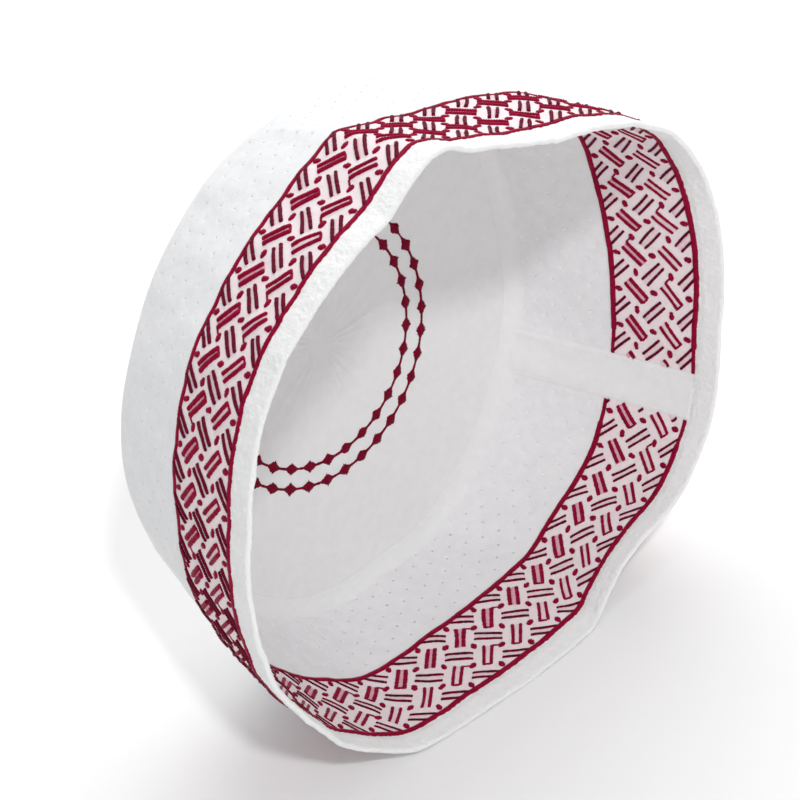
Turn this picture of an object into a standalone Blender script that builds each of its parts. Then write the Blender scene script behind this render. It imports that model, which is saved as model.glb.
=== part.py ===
"""A white cotton prayer cap with an embroidered band, lying on its side on its wall.

The cap is worked out round its own axis, with the crown's edge in the plane y = 0 and the opening
towards -Y. A place on the wall is an angle round the axis (from +X towards +Z) and a drop, the way
along the cloth from the crown's edge to the rim. The finished shape is then tipped back until its
lowest side lies on the plane z = 0, where the soft cloth goes flat.
"""

import math
from typing import NamedTuple

import bmesh
import bpy
import numpy as np

MM = 0.001

# Driving dimensions
WALL_HEIGHT = 71.6 * MM  # cloth from the crown's edge to the rim
BAND_WIDTH = 29.0 * MM
HEM_WIDTH = 8.6 * MM
CLOTH = 1.0 * MM
BAND_THICKNESS = 1.4 * MM
HEM_THICKNESS = 1.8 * MM
SEAM_WIDTH = 6.0 * MM
SEAM_THICKNESS = 2.2 * MM
SEAM_ROUNDING = 1.0 * MM
JOINT_WIDTH = 14.7 * MM
JOINT_THICKNESS = 2.0 * MM
JOINT_ANGLE = 330.7  # degrees round the axis
CROWN_DOME = 7.2 * MM  # how far the crown's middle stands out beyond its edge
GAP = 0.3 * MM

# Embroidered diamonds on the inside of the crown
DIAMOND_LENGTH = 5.1 * MM
DIAMOND_WIDTH = 2.9 * MM
DIAMOND_THREAD = 0.9 * MM
DIAMOND_RAISE = 0.5 * MM
OUTER_RING_RADIUS = 43.1 * MM
OUTER_RING_COUNT = 37
OUTER_RING_START = 26.0
INNER_RING_RADIUS = 37.1 * MM
INNER_RING_COUNT = 32
INNER_RING_START = 36.8

# How the cap lies: the axis tips back, and the cloth goes flat on the floor
TIP_BACK = math.radians(9.0)
AXIS_HEIGHT = 78.3 * MM  # of the crown's centre
CROWN_CENTRE_X = -3.1 * MM  # the crown's centre from the middle of the whole cap
CROWN_CENTRE_Y = 33.6 * MM
LEAST_SLOPE = 0.1  # a side that faces down by less than this never meets the floor

# Mesh fineness
STEPS_AROUND = 88
TURN_SAMPLES = 720
WALL_STEPS = 4
BAND_STEPS = 3
HEM_STEPS = 2
CROWN_RINGS = (0.2, 0.4, 0.6, 0.8, 1.0)
SMOOTH_BELOW = math.radians(40)  # edges that turn by less than this are shaded smooth
FOLD_ABOVE = math.radians(60)  # edges that turn by more than this are rounded on the hem


class Section(NamedTuple):
    """One place round the cap, in degrees and millimetres."""

    angle: float
    crown: float  # radius of the crown's edge
    rim: float  # radius of the rim
    belly: float  # how far the middle of the wall stands out
    setback: float  # how far the rim is pushed back towards the crown


SECTIONS = (
    Section(angle=14, crown=80.5, rim=97.0, belly=0.5, setback=1.0),
    Section(angle=26, crown=83.5, rim=93.5, belly=2.0, setback=0.0),
    # the tight turn at the upper right, where the wall leans inwards
    Section(angle=36, crown=84.0, rim=88.0, belly=2.0, setback=0.0),
    Section(angle=46, crown=82.5, rim=81.5, belly=2.0, setback=0.0),
    Section(angle=58, crown=80.0, rim=74.5, belly=1.0, setback=0.0),
    # the top sags inwards
    Section(angle=72, crown=76.5, rim=73.0, belly=0.0, setback=0.0),
    Section(angle=84, crown=74.0, rim=76.0, belly=0.5, setback=-0.5),
    # the crease at the upper left
    Section(angle=93, crown=73.0, rim=80.5, belly=1.0, setback=-0.5),
    Section(angle=101, crown=72.5, rim=79.0, belly=1.0, setback=-0.5),
    Section(angle=110, crown=72.0, rim=76.5, belly=1.5, setback=-0.5),
    # the long flattened stretch on the left
    Section(angle=121, crown=71.0, rim=78.0, belly=1.0, setback=0.5),
    Section(angle=134, crown=71.0, rim=80.5, belly=1.0, setback=1.5),
    Section(angle=149, crown=71.5, rim=84.0, belly=1.5, setback=2.5),
    Section(angle=164, crown=74.0, rim=87.5, belly=1.0, setback=1.5),
    Section(angle=179, crown=76.0, rim=91.5, belly=0.5, setback=1.5),
    Section(angle=193, crown=76.5, rim=94.0, belly=1.5, setback=4.0),
    # the lower left turn, with its rim pushed back
    Section(angle=205, crown=77.0, rim=95.5, belly=1.5, setback=7.5),
    Section(angle=217, crown=78.0, rim=97.0, belly=1.5, setback=10.0),
    Section(angle=230, crown=78.5, rim=100.5, belly=1.0, setback=11.0),
    # the straight stretch that lies on the floor
    Section(angle=244, crown=80.5, rim=99.5, belly=1.5, setback=7.5),
    Section(angle=258, crown=80.5, rim=94.0, belly=1.5, setback=5.5),
    Section(angle=271, crown=80.5, rim=92.5, belly=1.5, setback=4.0),
    Section(angle=281, crown=81.0, rim=93.0, belly=3.5, setback=3.5),
    # the S-shaped wave at the lower right
    Section(angle=290, crown=80.5, rim=88.5, belly=5.0, setback=4.5),
    Section(angle=301, crown=79.5, rim=88.0, belly=5.5, setback=4.0),
    Section(angle=315, crown=78.5, rim=96.0, belly=5.0, setback=1.5),
    # the side with the back joint
    Section(angle=329, crown=78.5, rim=96.5, belly=3.0, setback=0.5),
    Section(angle=344, crown=79.0, rim=94.5, belly=1.5, setback=1.0),
    Section(angle=359, crown=78.5, rim=98.5, belly=0.0, setback=1.5),
)


def around(angle, column):
    """Read one column of the sections at any angle in degrees, on a smooth closed curve."""
    knots = np.array([row.angle for row in SECTIONS])
    values = np.array([getattr(row, column) for row in SECTIONS])
    knots = np.concatenate([knots[-2:] - 360.0, knots, knots[:3] + 360.0])
    values = np.concatenate([values[-2:], values, values[:3]])
    slopes = (values[2:] - values[:-2]) / (knots[2:] - knots[:-2])
    turned = np.mod(np.asarray(angle, float) - SECTIONS[0].angle, 360.0) + SECTIONS[0].angle
    left = np.searchsorted(knots, turned, side="right") - 1
    width = knots[left + 1] - knots[left]
    t = (turned - knots[left]) / width
    rise = (
        (2 * t**3 - 3 * t**2 + 1) * values[left]
        + (t**3 - 2 * t**2 + t) * width * slopes[left - 1]
        + (3 * t**2 - 2 * t**3) * values[left + 1]
        + (t**3 - t**2) * width * slopes[left]
    )
    return rise


def floor_radius(angle, y):
    """How far from the axis the floor is, at an angle and a place along the axis."""
    down = -np.sin(np.radians(angle)) * math.cos(TIP_BACK)
    reach = AXIS_HEIGHT - y * math.sin(TIP_BACK)
    return np.where(down > LEAST_SLOPE, reach / np.maximum(down, LEAST_SLOPE), np.inf)


def wall_place(angle, drop):
    """Radius and y of the wall's outer face, before the cap is tipped back.

    The cloth keeps its length: where its middle stands out, the straight way is that much shorter.
    """
    crown = around(angle, "crown") * MM
    rim = around(angle, "rim") * MM
    belly = around(angle, "belly") * MM
    share = drop / WALL_HEIGHT
    chord = WALL_HEIGHT - 8 * belly**2 / (3 * WALL_HEIGHT)
    depth = np.sqrt(chord**2 - (rim - crown) ** 2) - around(angle, "setback") * MM
    radius = crown + (rim - crown) * share + 4 * belly * share * (1 - share)
    y = -depth * share
    return np.minimum(radius, floor_radius(angle, y)), y


def crown_edge(angle):
    """Radius of the crown's edge, flat where it lies on the floor."""
    return wall_place(angle, 0.0)[0]


def crown_height(share):
    """How far the crown stands out at a share of its radius, from 0 at its centre to 1 at its edge."""
    return CROWN_DOME * (1 - share**3)


def lay_down(angle, radius, y):
    """Points of the lying cap from their places round the axis."""
    turn = np.radians(angle)
    x = radius * np.cos(turn)
    z = radius * np.sin(turn)
    y = y + 0 * x
    return np.stack(
        [
            x + CROWN_CENTRE_X,
            y * math.cos(TIP_BACK) + z * math.sin(TIP_BACK) + CROWN_CENTRE_Y,
            z * math.cos(TIP_BACK) - y * math.sin(TIP_BACK) + AXIS_HEIGHT,
        ],
        axis=-1,
    )


def joint_half_angle(drop):
    """Half the angle that the back joint takes up at a drop, in degrees."""
    radius = wall_place(JOINT_ANGLE, drop)[0]
    return np.degrees(JOINT_WIDTH / 2 / radius)


def even_shares(steps):
    """Shares of a full turn from the back joint that stand evenly spaced along the cloth."""
    share = np.linspace(0.0, 1.0, TURN_SAMPLES + 1)
    angle = JOINT_ANGLE + 360.0 * share
    radius, y = wall_place(angle, WALL_HEIGHT / 2)
    points = lay_down(angle, radius, y)
    lengths = np.linalg.norm(np.diff(points, axis=0), axis=1)
    way = np.concatenate([[0.0], np.cumsum(lengths)])
    return np.interp(np.linspace(0.0, way[-1], steps + 1), way, share)


def material(name, colour, roughness):
    """A plain cloth or thread material."""
    made = bpy.data.materials.new(name)
    made.use_nodes = True
    shader = made.node_tree.nodes["Principled BSDF"]
    shader.inputs["Base Color"].default_value = (*colour, 1.0)
    shader.inputs["Roughness"].default_value = roughness
    shader.inputs["Metallic"].default_value = 0.0
    return made


def add_object(name, mesh, collection, finish):
    """Put a mesh into the collection as one named piece."""
    mesh.materials.append(finish)
    mesh.shade_smooth()
    mesh.set_sharp_from_angle(angle=SMOOTH_BELOW)
    made = bpy.data.objects.new(name, mesh)
    collection.objects.link(made)
    return made


def sheet_mesh(name, grid, closed):
    """An open surface through a grid of points, rows along the cloth and columns across it."""
    rows, columns, _ = grid.shape
    made = bmesh.new()
    points = [[made.verts.new(point) for point in row] for row in grid]
    for i in range(rows if closed else rows - 1):
        here, there = points[i], points[(i + 1) % rows]
        for j in range(columns - 1):
            made.faces.new((here[j], there[j], there[j + 1], here[j + 1]))
    mesh = bpy.data.meshes.new(name)
    made.to_mesh(mesh)
    made.free()
    return mesh


def ring_mesh(name, grid):
    """A closed solid ring through a grid of points, each row one closed outline across the ring."""
    rows, columns, _ = grid.shape
    made = bmesh.new()
    points = [[made.verts.new(point) for point in row] for row in grid]
    for i in range(rows):
        here, there = points[i], points[(i + 1) % rows]
        for j in range(columns):
            k = (j + 1) % columns
            made.faces.new((here[j], here[k], there[k], there[j]))
    bmesh.ops.recalc_face_normals(made, faces=made.faces)
    mesh = bpy.data.meshes.new(name)
    made.to_mesh(mesh)
    made.free()
    return mesh


def thicken(piece, thickness):
    """Give an open surface its thickness, inwards from its outer face."""
    solidify = piece.modifiers.new("cloth", "SOLIDIFY")
    solidify.thickness = thickness
    solidify.offset = -1.0
    solidify.use_even_offset = False
    return solidify


def strip_grid(shares, drops):
    """Points of a strip of the wall that is open at the back joint."""
    grid = []
    for share in shares:
        half = joint_half_angle(drops)
        angle = JOINT_ANGLE + half + share * (360.0 - 2 * half)
        radius, y = wall_place(angle, drops)
        grid.append(lay_down(angle, radius, y))
    return np.array(grid)


def build_strip(name, start, end, steps, thickness, collection, finish):
    """A strip of the wall between two drops, open at the back joint."""
    way_round = 2 * math.pi * around(JOINT_ANGLE, "crown") * MM
    shares = np.clip(even_shares(STEPS_AROUND), GAP / way_round, 1 - GAP / way_round)
    grid = strip_grid(shares, np.linspace(start, end, steps + 1))
    piece = add_object(name, sheet_mesh(name, grid, closed=False), collection, finish)
    thicken(piece, thickness)
    return piece


def build_joint(start, end, collection, finish):
    """The doubled strip where the two ends of the wall are sewn together."""
    name = "back_joint"
    drops = np.linspace(start, end, WALL_STEPS + BAND_STEPS + 1)
    grid = []
    for side in np.linspace(-1.0, 1.0, 3):
        angle = JOINT_ANGLE + side * joint_half_angle(drops)
        radius, y = wall_place(angle, drops)
        grid.append(lay_down(angle, radius, y))
    piece = add_object(name, sheet_mesh(name, np.array(grid), closed=False), collection, finish)
    thicken(piece, JOINT_THICKNESS)
    return piece


def build_hem(start, collection, finish):
    """The folded margin round the opening, with rounded edges."""
    name = "rim_hem"
    drops = np.linspace(start, WALL_HEIGHT, HEM_STEPS + 1)
    grid = []
    for share in even_shares(STEPS_AROUND)[:-1]:
        angle = JOINT_ANGLE + 360.0 * share
        radius, y = wall_place(angle, drops)
        grid.append(lay_down(angle, radius, y))
    piece = add_object(name, sheet_mesh(name, np.array(grid), closed=True), collection, finish)
    thicken(piece, HEM_THICKNESS)
    fold = piece.modifiers.new("fold", "BEVEL")
    fold.width = HEM_THICKNESS / 4
    fold.segments = 1
    fold.limit_method = "ANGLE"
    fold.angle_limit = FOLD_ABOVE
    return piece


def build_seam(collection, finish):
    """The doubled seam between the crown and the wall, a flat ring with a rounded outer edge."""
    name = "crown_seam"
    corner = SEAM_ROUNDING * (1 - math.sqrt(0.5))
    profile = (
        # in from the crown's edge, down from the crown's outer face
        (SEAM_WIDTH, 0.0),
        (SEAM_ROUNDING, 0.0),
        (corner, corner),
        (0.0, SEAM_ROUNDING),
        (0.0, SEAM_THICKNESS),
        (SEAM_WIDTH, SEAM_THICKNESS),
    )
    grid = []
    for share in even_shares(STEPS_AROUND)[:-1]:
        angle = JOINT_ANGLE + 360.0 * share
        edge = crown_edge(angle)
        outline = []
        for inward, down in profile:
            y = crown_height(1 - inward / edge) - down
            radius = min(edge, float(floor_radius(angle, y))) - inward
            outline.append(lay_down(angle, radius, y))
        grid.append(outline)
    return add_object(name, ring_mesh(name, np.array(grid)), collection, finish)


def build_crown(collection, finish):
    """The round top of the cap, a slightly domed disc inside the seam."""
    name = "crown_panel"
    made = bmesh.new()
    centre = made.verts.new(lay_down(0.0, 0.0, crown_height(0.0)))
    rings = []
    for ring in CROWN_RINGS:
        points = []
        for share in even_shares(STEPS_AROUND)[:-1]:
            angle = JOINT_ANGLE + 360.0 * share
            edge = crown_edge(angle)
            radius = (edge - SEAM_WIDTH - GAP) * ring
            points.append(made.verts.new(lay_down(angle, radius, crown_height(radius / edge))))
        rings.append(points)
    for i in range(STEPS_AROUND):
        k = (i + 1) % STEPS_AROUND
        made.faces.new((centre, rings[0][k], rings[0][i]))
        for inner, outer in zip(rings, rings[1:]):
            made.faces.new((inner[i], inner[k], outer[k], outer[i]))
    mesh = bpy.data.meshes.new(name)
    made.to_mesh(mesh)
    made.free()
    piece = add_object(name, mesh, collection, finish)
    thicken(piece, CLOTH)
    return piece


def build_diamond_ring(name, radius, count, start, collection, finish):
    """A ring of raised diamonds on the crown's inner face, joined by a thin line of thread."""
    step = 360.0 / count
    shoulder = DIAMOND_LENGTH / 2 * (1 - DIAMOND_THREAD / DIAMOND_WIDTH)
    places = (
        # degrees from the diamond's middle, half width
        (0.0, DIAMOND_WIDTH / 2),
        (math.degrees(shoulder / radius), DIAMOND_THREAD / 2),
        (step - math.degrees(shoulder / radius), DIAMOND_THREAD / 2),
    )
    grid = []
    for n in range(count):
        for turn, half in places:
            angle = start + n * step + turn
            edge = crown_edge(angle)
            outline = []
            for side, lift in ((-1, 0.0), (1, 0.0), (1, DIAMOND_RAISE), (-1, DIAMOND_RAISE)):
                r = radius + side * half
                y = crown_height(r / edge) - CLOTH - GAP - lift
                outline.append(lay_down(angle, r, y))
            grid.append(outline)
    return add_object(name, ring_mesh(name, np.array(grid)), collection, finish)


def build_cap():
    """Build every piece of the cap into one collection."""
    collection = bpy.data.collections.new("prayer_cap")
    bpy.context.scene.collection.children.link(collection)
    white = (0.80, 0.80, 0.79)
    crimson = (0.20, 0.008, 0.025)
    band_top = WALL_HEIGHT - HEM_WIDTH - BAND_WIDTH
    band_end = WALL_HEIGHT - HEM_WIDTH
    wall_start = SEAM_THICKNESS + GAP
    build_crown(collection, material("crown_cloth", white, 0.85))
    build_seam(collection, material("seam_cloth", white, 0.85))
    build_strip(
        "side_wall", wall_start, band_top - GAP / 2, WALL_STEPS, CLOTH, collection,
        material("pinhole_cloth", white, 0.85),
    )
    build_strip(
        "embroidered_band", band_top + GAP / 2, band_end - GAP / 2, BAND_STEPS, BAND_THICKNESS,
        collection, material("satin_stitch", crimson, 0.5),
    )
    build_joint(wall_start, band_end - GAP / 2, collection, material("joint_cloth", white, 0.85))
    build_hem(band_end + GAP / 2, collection, material("hem_cloth", white, 0.85))
    build_diamond_ring(
        "diamond_ring_outer", OUTER_RING_RADIUS, OUTER_RING_COUNT, OUTER_RING_START, collection,
        material("outer_diamond_thread", crimson, 0.5),
    )
    build_diamond_ring(
        "diamond_ring_inner", INNER_RING_RADIUS, INNER_RING_COUNT, INNER_RING_START, collection,
        material("inner_diamond_thread", crimson, 0.5),
    )


for old in list(bpy.data.objects):
    bpy.data.objects.remove(old, do_unlink=True)
build_cap()
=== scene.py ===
"""Looks of a white cotton prayer cap with an embroidered band, lying on its side on its wall.

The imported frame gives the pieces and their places. The cloth's surface is worked out here from the
same named sizes and the same table of sections as in the part's source, so each visual piece lies on
its own solid. A place on the wall is a way along the cloth, from the upper edge of the back joint
round to its lower edge, and a drop, down the cloth from the crown's edge to the rim.
"""

from __future__ import annotations

import logging
import math
from dataclasses import dataclass, replace
from enum import Enum
from functools import cached_property, partial
from typing import Callable, NamedTuple, Sequence

import bpy
import numpy as np
from mathutils import Matrix, Vector


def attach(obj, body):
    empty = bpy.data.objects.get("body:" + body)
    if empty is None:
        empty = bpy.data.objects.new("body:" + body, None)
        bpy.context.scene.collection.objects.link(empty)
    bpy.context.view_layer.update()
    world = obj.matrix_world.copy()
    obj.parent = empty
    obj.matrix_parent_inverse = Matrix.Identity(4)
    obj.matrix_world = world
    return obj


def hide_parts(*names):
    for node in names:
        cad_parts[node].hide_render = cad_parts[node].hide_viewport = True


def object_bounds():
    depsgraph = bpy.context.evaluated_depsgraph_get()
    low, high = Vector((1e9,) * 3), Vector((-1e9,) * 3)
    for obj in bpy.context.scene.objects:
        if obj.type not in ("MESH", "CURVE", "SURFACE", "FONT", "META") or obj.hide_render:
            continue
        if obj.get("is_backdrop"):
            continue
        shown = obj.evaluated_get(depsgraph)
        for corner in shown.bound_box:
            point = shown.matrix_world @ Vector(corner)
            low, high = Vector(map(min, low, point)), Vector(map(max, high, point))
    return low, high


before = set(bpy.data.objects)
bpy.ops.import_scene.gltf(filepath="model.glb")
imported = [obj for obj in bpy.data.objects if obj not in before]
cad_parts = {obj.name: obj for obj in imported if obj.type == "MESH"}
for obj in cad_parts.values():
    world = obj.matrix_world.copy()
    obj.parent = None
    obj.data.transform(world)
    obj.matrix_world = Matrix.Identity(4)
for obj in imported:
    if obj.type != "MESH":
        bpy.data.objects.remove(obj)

MM = 0.001
CLOTH_MAP = "cloth_mm"  # the pieces' map of their own cloth, in millimetres
BODY = "root"

Array = np.ndarray
Place = Callable[[Array, Array, Array], Array]

log = logging.getLogger("prayer_cap")


class Section(NamedTuple):
    """One place round the cap, in degrees and millimetres."""

    angle: float
    crown: float  # radius of the crown's edge
    rim: float  # radius of the rim
    belly: float  # how far the middle of the wall stands out
    setback: float  # how far the rim is pushed back towards the crown


SECTIONS = (
    Section(angle=14, crown=80.5, rim=97.0, belly=0.5, setback=1.0),
    Section(angle=26, crown=83.5, rim=93.5, belly=2.0, setback=0.0),
    # the tight turn at the upper right, where the wall leans inwards
    Section(angle=36, crown=84.0, rim=88.0, belly=2.0, setback=0.0),
    Section(angle=46, crown=82.5, rim=81.5, belly=2.0, setback=0.0),
    Section(angle=58, crown=80.0, rim=74.5, belly=1.0, setback=0.0),
    # the top sags inwards
    Section(angle=72, crown=76.5, rim=73.0, belly=0.0, setback=0.0),
    Section(angle=84, crown=74.0, rim=76.0, belly=0.5, setback=-0.5),
    # the crease at the upper left
    Section(angle=93, crown=73.0, rim=80.5, belly=1.0, setback=-0.5),
    Section(angle=101, crown=72.5, rim=79.0, belly=1.0, setback=-0.5),
    Section(angle=110, crown=72.0, rim=76.5, belly=1.5, setback=-0.5),
    # the long flattened stretch on the left
    Section(angle=121, crown=71.0, rim=78.0, belly=1.0, setback=0.5),
    Section(angle=134, crown=71.0, rim=80.5, belly=1.0, setback=1.5),
    Section(angle=149, crown=71.5, rim=84.0, belly=1.5, setback=2.5),
    Section(angle=164, crown=74.0, rim=87.5, belly=1.0, setback=1.5),
    Section(angle=179, crown=76.0, rim=91.5, belly=0.5, setback=1.5),
    Section(angle=193, crown=76.5, rim=94.0, belly=1.5, setback=4.0),
    # the lower left turn, with its rim pushed back
    Section(angle=205, crown=77.0, rim=95.5, belly=1.5, setback=7.5),
    Section(angle=217, crown=78.0, rim=97.0, belly=1.5, setback=10.0),
    Section(angle=230, crown=78.5, rim=100.5, belly=1.0, setback=11.0),
    # the straight stretch that lies on the floor
    Section(angle=244, crown=80.5, rim=99.5, belly=1.5, setback=7.5),
    Section(angle=258, crown=80.5, rim=94.0, belly=1.5, setback=5.5),
    Section(angle=271, crown=80.5, rim=92.5, belly=1.5, setback=4.0),
    Section(angle=281, crown=81.0, rim=93.0, belly=3.5, setback=3.5),
    # the S-shaped wave at the lower right
    Section(angle=290, crown=80.5, rim=88.5, belly=5.0, setback=4.5),
    Section(angle=301, crown=79.5, rim=88.0, belly=5.5, setback=4.0),
    Section(angle=315, crown=78.5, rim=96.0, belly=5.0, setback=1.5),
    # the side with the back joint
    Section(angle=329, crown=78.5, rim=96.5, belly=3.0, setback=0.5),
    Section(angle=344, crown=79.0, rim=94.5, belly=1.5, setback=1.0),
    Section(angle=359, crown=78.5, rim=98.5, belly=0.0, setback=1.5),
)


class Wave(NamedTuple):
    """One soft wave that washing leaves in the cloth."""

    turns: int  # how often it comes round the cap
    lean: float  # radians for each millimetre of drop
    start: float  # radians
    height: float  # millimetres


WAVES = (
    Wave(turns=17, lean=0.06, start=0.4, height=0.16),
    Wave(turns=29, lean=-0.12, start=2.1, height=0.12),
    Wave(turns=43, lean=0.17, start=4.0, height=0.07),
    Wave(turns=64, lean=-0.26, start=1.2, height=0.05),
    Wave(turns=97, lean=0.41, start=5.3, height=0.03),
)


class Side(Enum):
    """The two faces of the cloth."""

    OUTSIDE = "outside"
    INSIDE = "inside"


class Outline(Enum):
    """How wide a satin stitch is along its length."""

    BAR = "bar"
    DOT = "dot"
    DIAMOND = "diamond"


def turned_from(start: float, angle: Array) -> Array:
    """How far round angles are from a starting one, -180 to 180 degrees."""
    return np.mod(angle - start + 180.0, 360.0) - 180.0


@dataclass(frozen=True)
class CapForm:
    """The cap's cloth surface, worked out round its own axis and tipped back onto the floor."""

    sections: tuple[Section, ...] = SECTIONS
    wall_height: float = 71.6 * MM
    band_width: float = 29.0 * MM
    hem_width: float = 8.6 * MM
    seam_thickness: float = 2.2 * MM
    joint_width: float = 14.7 * MM
    joint_angle: float = 330.7  # degrees, of the back joint's middle line
    crown_dome: float = 7.2 * MM
    tip_back: float = math.radians(9.0)
    axis_height: float = 78.3 * MM
    centre_x: float = -3.1 * MM
    centre_y: float = 33.6 * MM
    least_slope: float = 0.1  # a side that faces down less than this never meets the floor
    floor_blend: float = 2.4 * MM  # over which the cloth turns from hanging to lying flat
    crease_height: float = 0.35 * MM  # of the short creases beside the back joint
    crease_reach: float = 11.0  # degrees
    crease_turns: float = 9.0  # radians over that reach
    crease_lean: float = 0.05  # radians for each millimetre of drop
    crease_drop: float = 12.0 * MM  # where they are highest
    crease_fade: float = 16.0 * MM
    fold_angle: float = 94.3  # degrees, of the sharp fold on top of the cap
    fold_height: float = 1.4 * MM
    fold_reach: float = 4.5  # degrees
    fold_crown_fade: float = 10.0 * MM  # over which it dies out towards the crown
    fold_rim_fade: float = 22.0 * MM  # over which it dies out towards the rim
    turn_samples: int = 1440
    angle_step: float = 0.15  # degrees, for the normals
    drop_step: float = 0.3 * MM

    @property
    def band_top(self) -> float:
        """The drop of the band's upper border."""
        return self.wall_height - self.hem_width - self.band_width

    @property
    def band_end(self) -> float:
        """The drop of the band's lower border."""
        return self.wall_height - self.hem_width

    def around(self, angle: Array, column: str) -> Array:
        """Read one column of the sections at any angle, on a smooth closed curve.

        Args:
            angle: Angles round the axis in degrees.
            column: The name of the column.

        Returns:
            The column's values in millimetres.
        """
        knots = np.array([row.angle for row in self.sections])
        values = np.array([getattr(row, column) for row in self.sections])
        knots = np.concatenate([knots[-2:] - 360.0, knots, knots[:3] + 360.0])
        values = np.concatenate([values[-2:], values, values[:3]])
        slopes = (values[2:] - values[:-2]) / (knots[2:] - knots[:-2])
        first = self.sections[0].angle
        turned = np.mod(np.asarray(angle, float) - first, 360.0) + first
        left = np.searchsorted(knots, turned, side="right") - 1
        width = knots[left + 1] - knots[left]
        t = (turned - knots[left]) / width
        return (
            (2 * t**3 - 3 * t**2 + 1) * values[left]
            + (t**3 - 2 * t**2 + t) * width * slopes[left - 1]
            + (3 * t**2 - 2 * t**3) * values[left + 1]
            + (t**3 - t**2) * width * slopes[left]
        )

    def floor_radius(self, angle: Array, y: Array) -> Array:
        """How far from the axis the floor is.

        Args:
            angle: Angles round the axis in degrees.
            y: Places along the axis.

        Returns:
            The distances, infinite where a side never meets the floor.
        """
        down = -np.sin(np.radians(angle)) * math.cos(self.tip_back)
        reach = self.axis_height - y * math.sin(self.tip_back)
        return np.where(down > self.least_slope, reach / np.maximum(down, self.least_slope), np.inf)

    def press(self, radius: Array, floor: Array) -> Array:
        """Press a radius flat on the floor, with a soft turn where it meets it.

        Args:
            radius: Free radii.
            floor: The floor's distances.

        Returns:
            The pressed radii.
        """
        near = np.maximum(1 - np.abs(radius - floor) / self.floor_blend, 0.0)
        return np.minimum(radius, floor) - near**2 * self.floor_blend / 4

    def wall_place(self, angle: Array, drop: Array) -> tuple[Array, Array]:
        """Find the wall's outer face round the axis, before the cap is tipped back.

        Args:
            angle: Angles round the axis in degrees.
            drop: Drops from the crown's edge.

        Returns:
            The radii and the places along the axis.
        """
        crown = self.around(angle, "crown") * MM
        rim = self.around(angle, "rim") * MM
        belly = self.around(angle, "belly") * MM
        share = drop / self.wall_height
        chord = self.wall_height - 8 * belly**2 / (3 * self.wall_height)
        depth = np.sqrt(chord**2 - (rim - crown) ** 2) - self.around(angle, "setback") * MM
        radius = crown + (rim - crown) * share + 4 * belly * share * (1 - share)
        y = -depth * share
        return self.press(radius, self.floor_radius(angle, y)), y

    def crown_edge(self, angle: Array) -> Array:
        """Radius of the crown's edge."""
        return self.wall_place(angle, np.zeros_like(np.asarray(angle, float)))[0]

    def lay_down(self, angle: Array, radius: Array, y: Array) -> Array:
        """Give the points of the lying cap.

        Args:
            angle: Angles round the axis in degrees.
            radius: Distances from the axis.
            y: Places along the axis.

        Returns:
            The points, with a last axis of three.
        """
        turn = np.radians(angle)
        x = radius * np.cos(turn)
        z = radius * np.sin(turn)
        y = y + 0 * x
        cos, sin = math.cos(self.tip_back), math.sin(self.tip_back)
        return np.stack(
            [
                x + self.centre_x,
                y * cos + z * sin + self.centre_y,
                z * cos - y * sin + self.axis_height,
            ],
            axis=-1,
        )

    def joint_half_angle(self, drop: Array) -> Array:
        """Half the angle that the back joint takes up at a drop, in degrees."""
        return np.degrees(self.joint_width / 2 / self.wall_place(self.joint_angle, drop)[0])

    @cached_property
    def band_ways(self) -> tuple[Array, Array]:
        """Measure the band's middle line, from one edge of the joint round to the other.

        Returns:
            Ways along the line, and the shares of the turn that they stand at.
        """
        share = np.linspace(0.0, 1.0, self.turn_samples + 1)
        drop = np.full_like(share, (self.band_top + self.band_end) / 2)
        half = self.joint_half_angle(drop)
        angle = self.joint_angle + half + share * (360.0 - 2 * half)
        points = self.lay_down(angle, *self.wall_place(angle, drop))
        steps = np.linalg.norm(np.diff(points, axis=0), axis=1)
        return np.concatenate([[0.0], np.cumsum(steps)]), share

    @property
    def length(self) -> float:
        """Length of the band's middle line from one edge of the joint round to the other."""
        return float(self.band_ways[0][-1])

    def angle_at(self, way: Array, drop: Array) -> Array:
        """Give the angle of a place on the wall.

        Args:
            way: Ways along the band from the joint's upper edge. Those outside it lie on the joint.
            drop: Drops from the crown's edge.

        Returns:
            Angles round the axis in degrees.
        """
        ways, shares = self.band_ways
        half = self.joint_half_angle(drop)
        share = np.interp(way, ways, shares)
        angle = self.joint_angle + half + share * (360.0 - 2 * half)
        beyond = way - np.clip(way, 0.0, self.length)
        return angle + beyond / (self.joint_width / 2) * half

    def ripple(self, angle: Array, drop: Array) -> Array:
        """Give the small waves of the cloth, its creases and its sharp fold, the same on both faces.

        Args:
            angle: Angles round the axis in degrees.
            drop: Drops from the crown's edge.

        Returns:
            How far the cloth stands out.
        """
        turn = np.radians(angle)
        waves = sum(w.height * np.sin(w.turns * turn + w.lean * drop / MM + w.start) for w in WAVES)
        off = turned_from(self.joint_angle, angle) / self.crease_reach
        high = (drop - self.crease_drop) / self.crease_fade
        swing = np.sin(off * self.crease_turns + drop / MM * self.crease_lean)
        crease = self.crease_height * np.exp(-(off**2) - high**2) * swing
        away = np.abs(turned_from(self.fold_angle, angle))
        span = np.minimum(drop / self.fold_crown_fade, (self.wall_height - drop) / self.fold_rim_fade)
        fold = self.fold_height * np.exp(-away / self.fold_reach) * np.clip(span, 0.0, 1.0)
        return waves * MM + crease + fold

    def wall(self, angle: Array, drop: Array, depth: Array) -> Array:
        """Give points of the wall's cloth.

        Args:
            angle: Angles round the axis in degrees.
            drop: Drops from the crown's edge.
            depth: How far inwards from the outer face.

        Returns:
            The points, none of them below the floor.
        """
        angle, drop, depth = np.broadcast_arrays(angle, drop, depth)

        def base(a: Array, d: Array) -> Array:
            """The outer face without its waves."""
            return self.lay_down(a, *self.wall_place(a, d))

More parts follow.
